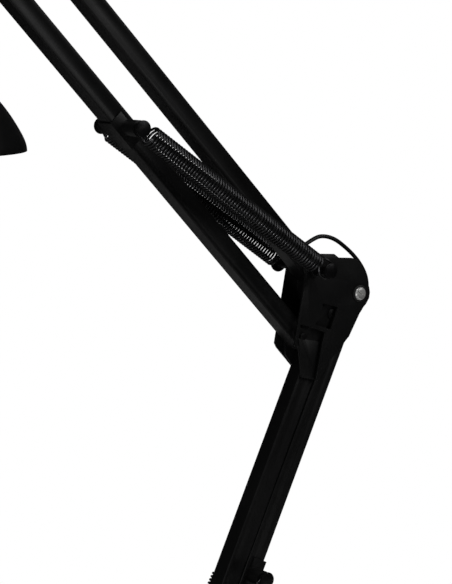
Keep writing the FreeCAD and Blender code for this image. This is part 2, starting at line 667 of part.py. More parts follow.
# The tongue under the spindle takes the tilt bolt.
tongue = makeBody("tilt_tongue")
tongue.Placement = Placement(Vector(turnAxis.x, 0, tiltUp), Rotation())
tongueSketch = addSketch(tongue, "XZ_Plane")
low = shelfLow - 16.0 - tiltUp
drawOutline(tongueSketch, [
    (-8.0, low), (-8.0, 0.0), (-7.4, -3.1), (-5.66, -5.66), (-3.1, -7.4), (0.0, -8.0), (3.1, -7.4),
    (5.66, -5.66), (7.4, -3.1), (8.0, 0.0), (8.0, low)])
drawCircle(tongueSketch, 0, 0, "pinRadius+pinFit")
pad(tongue, tongueSketch, 5.0, middle=True)
keep(tongue)

# ---- shade and light unit --------------------------------------------------
shadePlace = Placement(Vector(turnAxis.x, 0, tiltUp), Rotation())
neck = size("shadeNeck")
keep(turned("shade", [
    (3.0, -14.0), ("shadeNeck-3.0", -14.0), ("shadeNeck", -17.0), ("shadeNeck", -40.0), (31.0, -46.0),
    (42.0, -56.0), (56.0, -70.0), (68.0, -84.0), ("shadeRim-1.2", -97.0), ("shadeRim", -104.0),
    ("shadeRim", -106.0), ("shadeRim-shadeWall", -106.0), ("shadeRim-shadeWall", -104.2),
    (75.4, -97.2), (67.0, -84.9), (55.1, -71.0), (41.2, -57.1), (30.2, -47.2), ("shadeNeck-shadeWall", -40.6),
    ("shadeNeck-shadeWall", -17.4), ("shadeNeck-3.4", -15.2), (3.0, -15.2)], shadePlace))
fork = makeBody("shade_fork")
fork.Placement = shadePlace
forkOutline = [
    (-8.0, -12.0), (-8.0, 0.0), (-7.4, 3.1), (-5.66, 5.66), (-3.1, 7.4), (0.0, 8.0), (3.1, 7.4),
    (5.66, 5.66), (7.4, 3.1), (8.0, 0.0), (8.0, -12.0)]
for near in (True, None, False):
    if near is None:
        base = addSketch(fork, "XY_Plane", -14.0)
        drawCircle(base, 0, 0, 13.0)
        drawCircle(base, 0, 0, 3.0)
        pad(fork, base, 2.4)
        continue
    if near:
        sketch = addSketch(fork, "XZ_Plane", 2.8)
        drawOutline(sketch, forkOutline[:1] + forkOutline[1:])
        drawCircle(sketch, 0, 0, "pinRadius+pinFit")
        pad(fork, sketch, 3.0)
    else:
        sketch = addSketch(fork, "XZ_Plane", -5.8)
        drawOutline(sketch, forkOutline)
        drawCircle(sketch, 0, 0, "pinRadius+pinFit")
        pad(fork, sketch, 3.0)
keep(fork)
knob = turned("tilt_knob", [
    (0.0, -7.4), (4.4, -7.4), (4.8, -6.8), (4.8, -5.9), ("pinRadius", -5.9), ("pinRadius", 5.9), (6.5, 5.9),
    (6.5, 8.4), ("knobRadius-1.0", 8.4), ("knobRadius", 9.4), ("knobRadius", 15.4), ("knobRadius-1.2", 16.6),
    (0.0, 16.6)], alongY(turnAxis.x, 0.0, tiltUp))
scallop = addSketch(knob, "XY_Plane", 8.2)
for number in range(6):
    turn = math.radians(60.0 * number)
    drawCircle(scallop, 13.6 * math.cos(turn), 13.6 * math.sin(turn), 4.0)
scallopCut = pocket(knob, scallop, 10.0, reverse=True)
keep(knob)

ledTop = -44.0
fins = Part.makeCylinder(25.2, 3.0, Vector(0, 0, ledTop))
for number in range(12):
    fin = Part.makeBox(11.0, 1.4, 17.0, Vector(13.4, -0.7, ledTop + 3.0))
    fin.rotate(Vector(0, 0, 0), Vector(0, 0, 1), 30.0 * number)
    fins = fins.fuse(fin)
fins = fins.cut(Part.makeCylinder(2.4, 30.0, Vector(0, 0, ledTop - 2.0)))
keep(group("heat_sink", [fins.removeSplitter()], shadePlace))
board = ring(22.0, 2.4, 1.6)
board.translate(Vector(0, 0, -45.6))
leds = [board]
for number in range(8):
    turn = math.radians(45.0 * number)
    leds.append(Part.makeBox(3.0, 3.0, 0.9, Vector(15.0 * math.cos(turn) - 1.5, 15.0 * math.sin(turn) - 1.5, -46.5)))
keep(group("led_board", leds, shadePlace))
keep(turned("retaining_ring", [
    (25.2, -41.0), (26.0, -41.0), (28.6, -45.4), (30.4, -49.2), (36.0, -54.4), (36.0, -56.4), (29.0, -56.4),
    (29.0, -53.0), (25.2, -46.0)], shadePlace))
keep(turned("diffuser", [(0.0, -55.6), (28.7, -55.6), (28.7, -53.2), (0.0, -53.2)], shadePlace))

# The rocker switch sits in a housing on the front of the neck.
housing = Part.makeBox(8.0, 16.0, 20.0, Vector(-34.0, -8.0, -39.0))
housing = housing.cut(Part.makeCylinder(neck + 0.02, 60.0, Vector(0, 0, -70)))
housing = housing.cut(Part.makeBox(7.1, 9.0, 14.0, Vector(-35.0, -4.5, -36.0)))
keep(group("switch_housing", [housing], shadePlace))
rocker = Part.makeCylinder(7.4, 8.4, Vector(-27.0 - 2.2, -4.2, -29.0), Vector(0, 1, 0))
rocker = rocker.common(Part.makeBox(6.4, 8.4, 12.6, Vector(-35.4, -4.2, -35.3)))
keep(group("switch_rocker", [rocker], shadePlace))

# ---- cable -----------------------------------------------------------------
cable = size("cableRadius")


def bentTube(label, points, report=True):
    # Straight runs joined by tangent arcs.
    edges = []
    last = points[0]
    radii = []
    for number in range(1, len(points) - 1):
        corner = points[number]
        before = points[number - 1] - corner
        after = points[number + 1] - corner
        shorter = min(before.Length, after.Length)
        turn = math.pi - before.getAngle(after)
        if turn < 1e-4:
            continue
        reach = 0.45 * shorter
        radius = reach / math.tan(turn / 2.0)
        radii.append(radius)
        begin = corner + before.normalize() * reach
        finish = corner + after.normalize() * reach
        bisector = (before + after).normalize()
        middle = corner + bisector * (radius / math.cos(turn / 2.0) - radius)
        if (begin - last).Length > 1e-6:
            edges.append(Part.LineSegment(last, begin).toShape())
        edges.append(Part.Arc(begin, middle, finish).toShape())
        last = finish
    edges.append(Part.LineSegment(last, points[-1]).toShape())
    wire = Part.Wire(edges)
    way = (points[1] - points[0]).normalize()
    profile = Part.Wire(Part.Circle(points[0], way, cable).toShape())
    tube = wire.makePipeShell([profile], True, False)
    ideal = math.pi * cable * cable * wire.Length
    print(label, "length %.1f" % wire.Length, "radii", ["%.1f" % r for r in radii],
          "volume ratio %.4f" % (tube.Volume / ideal))
    return keep(group(label, [tube]))


def local(across, up, side=0.0):
    return elbowFrame + Vector(across, side, up)


startA = elbowExit + elbowExitWay * 2.4
startB = elbowEntry + elbowEntryWay * 2.4
bentTube("elbow_cable", [
    startA, local(-30.5, 41.2), local(-21.5, 41.6), local(-12.0, 38.6), local(-3.0, 32.6), local(5.6, 25.6),
    local(12.8, 17.6), local(17.6, 8.6), local(18.2, -1.4), local(14.6, -10.6), local(8.2, -18.4), startB])


def innerCable(label, pivot, angle, low, high):
    first = onBar(pivot, angle, low, 4.25)
    last = onBar(pivot, angle, high, 4.25)
    way = last - first
    item = doc.addObject("Part::Cylinder", label)
    item.Label = label
    item.setExpression("Radius", "Sizes.cableRadius")
    item.Height = way.Length
    item.Placement = Placement(first, Rotation(Vector(0, 0, 1), way))
    return keep(item)


armLength = size("armLength")
innerCable("rear_bar_cable", baseRear, lowerAngle, 31.0, armLength - 31.0)
innerCable("top_bar_cable", topPivot, upperAngle, 17.5, armLength - 31.0)
startC = headExit + headExitWay * 2.4
topOfSpindle = Vector(turnAxis.x, 0, shelfLow + 9.0)
bentTube("head_cable", [
    startC, startC + headExitWay * 13.0, startC + headExitWay * 20.0 + Vector(-12.0, 0, 7.0),
    Vector(headTop.x - 28.0, 0, headTop.z + 17.0), Vector(turnAxis.x + 4.0, 0, headTop.z + 3.0),
    Vector(turnAxis.x - 0.6, 0, headTop.z - 12.0), Vector(turnAxis.x, 0, headTop.z - 24.0), topOfSpindle])
startD = baseExit + baseExitWay * 2.4
bentTube("base_cable", [
    startD, startD + baseExitWay * 9.0, Vector(45.0, 0, 84.0), Vector(42.0, 0, 68.0), Vector(33.0, 0, 57.0),
    Vector(20.0, 0, 51.0), Vector(7.0, 0, 47.0), Vector(0.0, 0, floorLevel - 2.0)])

# ---- checks and export -----------------------------------------------------
doc.recompute()
fault = []
for item in doc.Objects:
    if "Invalid" in item.State or "Error" in item.State:
        fault.append("%s %s" % (item.Name, item.State))
labels = set()
for item in parts:
    shape = item.Shape
    if shape.isNull() or not shape.isValid() or not shape.Solids:
        fault.append("bad shape " + item.Label)
        continue
    if item.Label in labels:
        fault.append("label used twice " + item.Label)
    labels.add(item.Label)
    if shape.Volume <= 0:
        fault.append("no volume " + item.Label)
if fault:
    raise RuntimeError("; ".join(fault))

os.makedirs("parts", exist_ok=True)
for old in os.listdir("parts"):
    if old.endswith(".step") and old[:-5] not in labels:
        os.remove(os.path.join("parts", old))
for item in parts:
    item.Shape.exportStep("parts/%s.step" % item.Label)
    box = item.Shape.BoundBox
    print("%-20s solids %d vol %9.1f  x %7.1f %7.1f  y %6.1f %6.1f  z %6.1f %6.1f" % (
        item.Label, len(item.Shape.Solids), item.Shape.Volume, box.XMin, box.XMax, box.YMin, box.YMax,
        box.ZMin, box.ZMax))
print("pieces", len(parts))
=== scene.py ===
import json
import math
import bpy
from mathutils import Vector, Matrix


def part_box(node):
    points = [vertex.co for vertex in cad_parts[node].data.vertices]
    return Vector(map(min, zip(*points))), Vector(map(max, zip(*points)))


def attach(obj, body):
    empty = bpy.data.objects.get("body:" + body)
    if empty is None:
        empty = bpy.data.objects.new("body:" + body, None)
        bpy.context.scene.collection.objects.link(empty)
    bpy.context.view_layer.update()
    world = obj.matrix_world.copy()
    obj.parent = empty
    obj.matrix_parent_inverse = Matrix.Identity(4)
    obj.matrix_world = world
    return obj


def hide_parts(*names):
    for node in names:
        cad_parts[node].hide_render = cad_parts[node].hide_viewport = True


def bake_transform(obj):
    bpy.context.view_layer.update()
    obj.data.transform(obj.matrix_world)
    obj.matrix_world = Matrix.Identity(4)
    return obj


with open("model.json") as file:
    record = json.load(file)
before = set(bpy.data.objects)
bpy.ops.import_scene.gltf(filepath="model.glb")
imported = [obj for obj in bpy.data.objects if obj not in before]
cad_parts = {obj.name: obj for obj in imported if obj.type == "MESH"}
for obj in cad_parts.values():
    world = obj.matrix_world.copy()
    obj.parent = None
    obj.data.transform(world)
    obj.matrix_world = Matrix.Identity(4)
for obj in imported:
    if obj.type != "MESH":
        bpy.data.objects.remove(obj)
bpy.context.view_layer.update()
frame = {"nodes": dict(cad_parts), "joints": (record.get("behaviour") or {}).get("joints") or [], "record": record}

scene = bpy.context.scene
scene.view_settings.view_transform = "Standard"
millimetre = 0.001
bodies = frame["record"]["behaviour"]["bodies"]
bodyOfNode = {}
for bodyName, members in bodies.items():
    for member in members:
        bodyOfNode[member] = bodyName
joints = {joint["name"]: joint for joint in frame["joints"]}


def pivotOf(jointName):
    return Vector(joints[jointName]["pos_m"])


def middleOf(nodeName):
    low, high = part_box(nodeName)
    return (low + high) / 2


print("camera")
cameraPlan = {"yaw": 36.1, "down": 7.6, "distance": 1.396, "lens": 124.3,
              "targetX": -0.1091, "targetZ": 0.0079}
elbowPoint = pivotOf("elbow_level") - Vector((1.2, 0.0, -0.6)) * millimetre
yaw = math.radians(cameraPlan["yaw"])
down = math.radians(cameraPlan["down"])
lookWay = Vector((math.sin(yaw) * math.cos(down), math.cos(yaw) * math.cos(down), -math.sin(down)))
lookPoint = elbowPoint + Vector((cameraPlan["targetX"], 0.0, cameraPlan["targetZ"]))
cameraData = bpy.data.cameras.new("camera")
cameraData.lens = cameraPlan["lens"]
cameraData.sensor_width = 36.0
cameraData.clip_start = 0.05
cameraData.clip_end = 30.0
camera = bpy.data.objects.new("camera", cameraData)
camera.location = lookPoint - lookWay * cameraPlan["distance"]
camera.rotation_mode = "QUATERNION"
camera.rotation_quaternion = lookWay.to_track_quat("-Z", "Y")
scene.collection.objects.link(camera)
scene.camera = camera


# Small helpers for modelling.
def deselectAll():
    if bpy.context.object is not None and bpy.context.object.mode != "OBJECT":
        bpy.ops.object.mode_set(mode="OBJECT")
    bpy.ops.object.select_all(action="DESELECT")


def makeActive(piece):
    deselectAll()
    piece.select_set(True)
    bpy.context.view_layer.objects.active = piece


def settle(piece):
    makeActive(piece)
    bpy.ops.object.transform_apply(location=True, rotation=True, scale=True)


def applyAll(piece):
    makeActive(piece)
    for modifier in list(piece.modifiers):
        bpy.ops.object.modifier_apply(modifier=modifier.name)


def cleanUp(piece, gap=0.00001):
    makeActive(piece)
    bpy.ops.object.mode_set(mode="EDIT")
    bpy.ops.mesh.select_all(action="SELECT")
    bpy.ops.mesh.remove_doubles(threshold=gap)
    bpy.ops.mesh.normals_make_consistent(inside=False)
    bpy.ops.object.mode_set(mode="OBJECT")


def smoothBy(piece, degrees=32):
    makeActive(piece)
    bpy.ops.object.shade_smooth_by_angle(angle=math.radians(degrees))


def rename(piece, name):
    piece.name = name
    piece.data.name = name


def finishPiece(piece, nodeNames, bodyName, material):
    piece.data.materials.clear()
    piece.data.materials.append(material)
    if nodeNames:
        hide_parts(*nodeNames)
    if bodyName:
        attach(piece, bodyName)


def formedCopy(nodeName, bevel, segments=2, angle=32, flat=1.0):
    # A CAD piece with its edges broken, as folding and tumbling leave them.
    source = frame["nodes"][nodeName]
    piece = bpy.data.objects.new(nodeName + "Formed", source.data.copy())
    scene.collection.objects.link(piece)
    piece.data.materials.clear()
    cleanUp(piece)
    makeActive(piece)
    bpy.ops.object.mode_set(mode="EDIT")
    bpy.ops.mesh.select_all(action="SELECT")
    bpy.ops.mesh.dissolve_limited(angle_limit=math.radians(flat))
    bpy.ops.object.mode_set(mode="OBJECT")
    if bevel > 0:
        edge = piece.modifiers.new("edge", "BEVEL")
        edge.width = bevel * millimetre
        edge.segments = segments
        edge.limit_method = "ANGLE"
        edge.angle_limit = math.radians(angle)
        edge.use_clamp_overlap = True
        edge.harden_normals = False
        applyAll(piece)
    smoothBy(piece, angle)
    return piece


def linePoints(name, points, order=3):
    # Points along the smooth line that a route's control points give.
    curve = bpy.data.curves.new(name, "CURVE")
    curve.dimensions = "3D"
    curve.resolution_u = 12
    spline = curve.splines.new("NURBS")
    spline.points.add(len(points) - 1)
    for place, point in zip(spline.points, points):
        place.co = (point.x, point.y, point.z, 1.0)
    spline.order_u = order
    spline.use_endpoint_u = True
    holder = bpy.data.objects.new(name, curve)
    scene.collection.objects.link(holder)
    bpy.context.view_layer.update()
    mesh = bpy.data.meshes.new_from_object(holder.evaluated_get(bpy.context.evaluated_depsgraph_get()))
    found = [vertex.co.copy() for vertex in mesh.vertices]
    bpy.data.meshes.remove(mesh)
    bpy.data.objects.remove(holder)
    return found


def tubeAlong(name, points, radius, sides=12):
    # A round tube that follows a line of points.
    vertices = []
    faces = []
    ways = []
    for number in range(len(points)):
        before = points[max(number - 1, 0)]
        after = points[min(number + 1, len(points) - 1)]
        ways.append((after - before).normalized())
    side = ways[0].orthogonal().normalized()
    for number, point in enumerate(points):
        if number:
            side = ways[number - 1].rotation_difference(ways[number]) @ side
        side = (side - ways[number] * side.dot(ways[number])).normalized()
        other = ways[number].cross(side)
        for step in range(sides):
            turn = 2 * math.pi * step / sides
            vertices.append(point + (side * math.cos(turn) + other * math.sin(turn)) * radius)
    for number in range(len(points) - 1):
        for step in range(sides):
            first = number * sides + step
            second = number * sides + (step + 1) % sides
            faces.append((first, second, second + sides, first + sides))
    faces.append(tuple(reversed(range(sides))))
    faces.append(tuple((len(points) - 1) * sides + step for step in range(sides)))
    mesh = bpy.data.meshes.new(name)
    mesh.from_pydata([tuple(vertex) for vertex in vertices], [], faces)
    piece = bpy.data.objects.new(name, mesh)
    scene.collection.objects.link(piece)
    cleanUp(piece, 0.000001)
    smoothBy(piece, 40)
    return piece


def joinPieces(name, pieces):
    deselectAll()
    for piece in pieces:
        piece.select_set(True)
    bpy.context.view_layer.objects.active = pieces[0]
    bpy.ops.object.join()
    joined = bpy.context.object
    rename(joined, name)
    return joined


def spunShell(name, profile, wall, steps=96, axisAt=(0.0, 0.0)):
    # A profile of (radius, height) points turned about a vertical axis.
    outline = [Vector((radius * millimetre, 0, height * millimetre)) for radius, height in profile]
    line = linePoints(name, outline, 4)
    mesh = bpy.data.meshes.new(name)
    mesh.from_pydata([tuple(point) for point in line], [(k, k + 1) for k in range(len(line) - 1)], [])
    piece = bpy.data.objects.new(name, mesh)
    scene.collection.objects.link(piece)
    turn = piece.modifiers.new("turn", "SCREW")
    turn.steps = steps
    turn.render_steps = steps
    turn.use_merge_vertices = True
    turn.merge_threshold = 0.00001
    applyAll(piece)
    cleanUp(piece)
    if wall:
        thick = piece.modifiers.new("wall", "SOLIDIFY")
        thick.thickness = wall * millimetre
        thick.offset = -1.0
        thick.use_even_offset = True
        applyAll(piece)
    piece.location = (axisAt[0], axisAt[1], 0)
    settle(piece)
    smoothBy(piece, 40)
    return piece


print("materials")


def newGroup(name, inputs, outputs):
    group = bpy.data.node_groups.new(name, "ShaderNodeTree")
    for label, kind, default in inputs:
        socket = group.interface.new_socket(name=label, in_out="INPUT", socket_type=kind)
        socket.default_value = default
    for label, kind in outputs:
        group.interface.new_socket(name=label, in_out="OUTPUT", socket_type=kind)
    return group, group.nodes.new("NodeGroupInput"), group.nodes.new("NodeGroupOutput")


def makeGrainGroup():
    # The fine orange-peel of a powder coat, with its slow colour drift and rubbed spots.
    group, come, leave = newGroup(
        "coatGrain",
        [("Scale", "NodeSocketFloat", 900.0), ("Drift", "NodeSocketFloat", 30.0),
         ("Rub", "NodeSocketFloat", 0.62), ("Base", "NodeSocketColor", (0.004, 0.004, 0.004, 1)),
         ("Worn", "NodeSocketColor", (0.02, 0.02, 0.02, 1)), ("Smooth", "NodeSocketFloat", 0.34),
         ("Rough", "NodeSocketFloat", 0.55)],
        [("Colour", "NodeSocketColor"), ("Roughness", "NodeSocketFloat"), ("Height", "NodeSocketFloat")])
    nodes = group.nodes
    links = group.links
    place = nodes.new("ShaderNodeTexCoord")
    fine = nodes.new("ShaderNodeTexNoise")
    fine.inputs["Detail"].default_value = 3.0
    slow = nodes.new("ShaderNodeTexNoise")
    slow.inputs["Detail"].default_value = 5.0
    slow.inputs["Roughness"].default_value = 0.6
    spots = nodes.new("ShaderNodeTexNoise")
    spots.inputs["Scale"].default_value = 240.0
    spots.inputs["Detail"].default_value = 6.0
    links.new(place.outputs["Object"], fine.inputs["Vector"])
    links.new(place.outputs["Object"], slow.inputs["Vector"])
    links.new(place.outputs["Object"], spots.inputs["Vector"])
    links.new(come.outputs["Scale"], fine.inputs["Scale"])
    links.new(come.outputs["Drift"], slow.inputs["Scale"])
    rub = nodes.new("ShaderNodeMapRange")
    rub.inputs["To Min"].default_value = 0.0
    rub.inputs["To Max"].default_value = 1.0
    rub.inputs["From Max"].default_value = 0.85
    links.new(come.outputs["Rub"], rub.inputs["From Min"])
    links.new(spots.outputs["Fac"], rub.inputs["Value"])
    product = nodes.new("ShaderNodeMath")
    product.operation = "MULTIPLY"
    links.new(rub.outputs["Result"], product.inputs[0])
    links.new(slow.outputs["Fac"], product.inputs[1])
    mix = nodes.new("ShaderNodeMix")
    mix.data_type = "RGBA"
    links.new(product.outputs[0], mix.inputs["Factor"])
    links.new(come.outputs["Base"], mix.inputs["A"])
    links.new(come.outputs["Worn"], mix.inputs["B"])
    links.new(mix.outputs["Result"], leave.inputs["Colour"])
    gloss = nodes.new("ShaderNodeMapRange")
    links.new(slow.outputs["Fac"], gloss.inputs["Value"])
    gloss.inputs["From Min"].default_value = 0.3
    gloss.inputs["From Max"].default_value = 0.7
    links.new(come.outputs["Smooth"], gloss.inputs["To Min"])
    links.new(come.outputs["Rough"], gloss.inputs["To Max"])
    links.new(gloss.outputs["Result"], leave.inputs["Roughness"])
    links.new(fine.outputs["Fac"], leave.inputs["Height"])
    return group


coatGrain = makeGrainGroup()


def grainMaterial(name, look):
    material = bpy.data.materials.new(name)
    material.use_nodes = True
    nodes = material.node_tree.nodes
    links = material.node_tree.links
    shader = nodes["Principled BSDF"]
    grain = nodes.new("ShaderNodeGroup")
    grain.node_tree = coatGrain
    grain.inputs["Scale"].default_value = look.get("scale", 900.0)
    grain.inputs["Drift"].default_value = look.get("drift", 30.0)
    grain.inputs["Rub"].default_value = look.get("rub", 0.62)
    grain.inputs["Base"].default_value = (*look["base"], 1.0)
    grain.inputs["Worn"].default_value = (*look["worn"], 1.0)
    grain.inputs["Smooth"].default_value = look["smooth"]
    grain.inputs["Rough"].default_value = look["rough"]
    bump = nodes.new("ShaderNodeBump")
    bump.inputs["Strength"].default_value = look.get("bump", 0.25)
    bump.inputs["Distance"].default_value = look.get("depth", 0.00005)
    links.new(grain.outputs["Colour"], shader.inputs["Base Color"])
    links.new(grain.outputs["Roughness"], shader.inputs["Roughness"])
    links.new(grain.outputs["Height"], bump.inputs["Height"])
    links.new(bump.outputs["Normal"], shader.inputs["Normal"])
    shader.inputs["Metallic"].default_value = look.get("metal", 0.0)
    shader.inputs["IOR"].default_value = look.get("ior", 1.45)
    shader.inputs["Specular IOR Level"].default_value = look.get("specular", 0.5)
    if "coat" in look:
        shader.inputs["Coat Weight"].default_value = look["coat"]
        shader.inputs["Coat Roughness"].default_value = look.get("coatRough", 0.2)
    if "glow" in look:
        shader.inputs["Subsurface Weight"].default_value = look["glow"]
        shader.inputs["Subsurface Radius"].default_value = (0.004, 0.004, 0.004)
    return material


looks = {
    "black_paint": {"base": (0.0035, 0.0035, 0.0037), "worn": (0.012, 0.012, 0.0125), "smooth": 0.36,
                    "rough": 0.5,
                    "specular": 0.4, "scale": 1100.0, "bump": 0.22},
    "black_shade": {"base": (0.005, 0.005, 0.0053), "worn": (0.014, 0.014, 0.0145), "smooth": 0.26,
                    "rough": 0.38,
                    "specular": 0.45, "scale": 1300.0, "bump": 0.12},
    "black_plastic": {"base": (0.006, 0.006, 0.0062), "worn": (0.02, 0.02, 0.02), "smooth": 0.42,
                      "rough": 0.6,
                      "scale": 1800.0, "bump": 0.3, "specular": 0.4},
    "spring_steel": {"base": (0.05, 0.05, 0.052), "worn": (0.19, 0.19, 0.195), "smooth": 0.2, "rough": 0.34,
                     "metal": 0.85, "scale": 1500.0, "rub": 0.5, "bump": 0.15},
    "zinc": {"base": (0.86, 0.86, 0.84), "worn": (0.62, 0.61, 0.57), "smooth": 0.34, "rough": 0.5,
             "metal": 0.75,
             "scale": 2200.0, "drift": 160.0, "bump": 0.12},
    "black_bolt": {"base": (0.02, 0.02, 0.021), "worn": (0.09, 0.088, 0.085), "smooth": 0.25, "rough": 0.45,
                   "metal": 0.85, "scale": 1500.0, "rub": 0.52},
    "washer": {"base": (0.012, 0.012, 0.012), "worn": (0.03, 0.03, 0.03), "smooth": 0.45, "rough": 0.6,
               "scale": 1200.0},
    "cable_jacket": {"base": (0.0045, 0.0045, 0.0047), "worn": (0.012, 0.012, 0.012), "smooth": 0.34,
                     "rough": 0.5,
                     "scale": 1600.0, "bump": 0.12, "specular": 0.5},
    "pad": {"base": (0.01, 0.01, 0.01), "worn": (0.03, 0.028, 0.026), "smooth": 0.75, "rough": 0.92,
            "scale": 700.0,
            "bump": 0.6, "depth": 0.0002},
    "iron": {"base": (0.05, 0.046, 0.043), "worn": (0.12, 0.07, 0.045), "smooth": 0.55, "rough": 0.8,
             "metal": 0.5,
             "scale": 350.0, "bump": 0.8, "depth": 0.0006},
    "post_steel": {"base": (0.42, 0.42, 0.43), "worn": (0.25, 0.24, 0.23), "smooth": 0.18, "rough": 0.32,
                   "metal": 1.0, "scale": 2600.0, "bump": 0.1},
    "heat_metal": {"base": (0.6, 0.6, 0.62), "worn": (0.42, 0.42, 0.43), "smooth": 0.3, "rough": 0.5,
                   "metal": 1.0,
                   "scale": 900.0, "bump": 0.2},
    "board": {"base": (0.8, 0.8, 0.76), "worn": (0.6, 0.58, 0.5), "smooth": 0.4, "rough": 0.6,
              "scale": 1200.0},
    "lens": {"base": (0.82, 0.82, 0.79), "worn": (0.7, 0.7, 0.66), "smooth": 0.22, "rough": 0.36,
             "scale": 1500.0,
             "bump": 0.1, "glow": 0.6},
    "shade_inside": {"base": (0.72, 0.72, 0.7), "worn": (0.55, 0.55, 0.52), "smooth": 0.4, "rough": 0.6,
                     "scale": 1300.0, "bump": 0.15},
}
materials = {name: grainMaterial(name, look) for name, look in looks.items()}
slotOfNode = {entry["node"]: entry["material_slot"] for entry in frame["record"]["subparts"]}
for nodeName, nodeObject in frame["nodes"].items():
    nodeObject.data.materials.clear()
    nodeObject.data.materials.append(materials[slotOfNode[nodeName]])

# The flex shows as loops at the elbow, the head and the base.
print("flex")
flex = {"radius": 1.5, "sides": 14, "elbowLength": 0.1168, "headLength": 0.1234, "baseLength": 0.0972}
barAngleUpper = math.radians(133.8)
barAngleLower = math.radians(64.3)


def local(across, up):
    return elbowPoint + Vector((across, 0.0, up)) * millimetre


def onBar(pivot, angle, along, out):
    way = Vector((math.cos(angle), 0.0, math.sin(angle)))
    side = Vector((way.z, 0.0, -way.x))
    return pivot + (way * along + side * out) * millimetre


def halfWay(line):
    # The place in a line of points where half its length is behind.
    steps = [(after - before).length for before, after in zip(line, line[1:])]
    gone = 0.0
    for number, step in enumerate(steps):
        gone += step
        if gone >= sum(steps) / 2:
            return number + 1


topPivot = pivotOf("upper_fold")
rearPivot = pivotOf("lower_fold")
exitWay = Vector((0.86, 0.0, 0.51)).normalized()
elbowOut = onBar(topPivot, barAngleUpper, 12.4, 6.6) + exitWay * 2.4 * millimetre
elbowIn = onBar(rearPivot, barAngleLower, 354.0, 6.6) + exitWay * 2.4 * millimetre
elbowRoute = [
    elbowOut, local(-30.5, 41.2), local(-21.5, 41.6), local(-12.0, 38.6), local(-3.0, 32.6), local(5.6, 25.6),
    local(12.8, 17.6), local(17.6, 8.6), local(18.2, -1.4), local(14.6, -10.6), local(8.2, -18.4), elbowIn]
elbowLine = linePoints("elbowLine", elbowRoute)
splitAt = halfWay(elbowLine)
upperFlex = tubeAlong("elbow_flex_upper", elbowLine[:splitAt + 1], flex["radius"] * millimetre, flex["sides"])
lowerFlex = tubeAlong("elbow_flex_lower", elbowLine[splitAt:], flex["radius"] * millimetre, flex["sides"])
finishPiece(upperFlex, ["elbow_cable"], None, materials["cable_jacket"])
finishPiece(lowerFlex, ["elbow_cable"], None, materials["cable_jacket"])
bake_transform(upperFlex)
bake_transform(lowerFlex)

headWay = Vector((-0.28, 0.0, 0.96)).normalized()
headOut = onBar(topPivot, barAngleUpper, 354.0, 6.6) + headWay * 2.4 * millimetre
headTop = pivotOf("head_level")
turnAxis = pivotOf("head_turn")
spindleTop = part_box("head_spindle")[1].z
headRoute = [
    headOut, headOut + headWay * 13.0 * millimetre,
    headOut + headWay * 20.0 * millimetre + Vector((-12.0, 0.0, 7.0)) * millimetre,
    Vector((headTop.x - 0.028, 0.0, headTop.z + 0.017)), Vector((turnAxis.x + 0.004, 0.0, headTop.z + 0.003)),
    Vector((turnAxis.x - 0.0006, 0.0, headTop.z - 0.012)), Vector((turnAxis.x, 0.0, headTop.z - 0.024)),
    Vector((turnAxis.x, 0.0, spindleTop))]
headLine = linePoints("headLine", headRoute)
headFlex = tubeAlong("head_flex", headLine, flex["radius"] * millimetre, flex["sides"])
finishPiece(headFlex, ["head_cable"], None, materials["cable_jacket"])
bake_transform(headFlex)

baseWay = Vector((0.93, 0.0, -0.36)).normalized()
baseOut = onBar(rearPivot, barAngleLower, 27.0, 6.6) + baseWay * 2.4 * millimetre
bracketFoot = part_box("base_bracket")[0].z
baseRoute = [
    baseOut, baseOut + baseWay * 9.0 * millimetre, Vector((0.045, 0.0, 0.084)), Vector((0.042, 0.0, 0.068)),
    Vector((0.033, 0.0, 0.057)), Vector((0.020, 0.0, 0.051)), Vector((0.007, 0.0, 0.047)),
    Vector((0.0, 0.0, bracketFoot - 0.002))]
baseLine = linePoints("baseLine", baseRoute)
baseFlex = tubeAlong("base_flex", baseLine, flex["radius"] * millimetre, flex["sides"])
finishPiece(baseFlex, ["base_cable"], None, materials["cable_jacket"])
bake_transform(baseFlex)

print("springs")
springPlan = {"wire": 0.88, "outer": 7.4, "pitch": 2.5, "steps": 22, "sides": 8,
              "studEnd": 9.5, "pinEnd": 8.0, "loop": 6.2, "loopOut": 4.2, "studRadius": 3.0, "pinRadius": 2.5}


def springFrame(stud, anchor, side):
    way = (anchor - stud).normalized()
    cross = Vector((0.0, 1.0, 0.0))
    across = cross.cross(way).normalized()
    frameMatrix = Matrix((across, cross, way)).transposed().to_4x4()
    frameMatrix.translation = Vector((stud.x, side, stud.z))
    return frameMatrix


def studHook(coilRadius, coilAt, side):
    # The last turn swings out of the coil and closes as a wide loop round the stud.
    loop = springPlan["loop"]
    shift = loop - springPlan["wire"] - springPlan["studRadius"]
    out = springPlan["loopOut"] * side
    points = [
        (0.0, -coilRadius, coilAt), (coilRadius * 0.7, -coilRadius * 0.7, coilAt - 0.2),
        (coilRadius, 0.0, coilAt - 0.4), (coilRadius * 0.95, out * 0.55, coilAt - 0.8),
        (loop * 0.99, out * 0.95, shift + 2.6)]
    for degrees in (8, -22, -55, -90, -125, -160, -195, -228, -258):
        turn = math.radians(degrees)
        points.append((loop * 1.04 * math.cos(turn), out, shift + loop * 1.04 * math.sin(turn)))
    return [Vector(point) * millimetre for point in points]


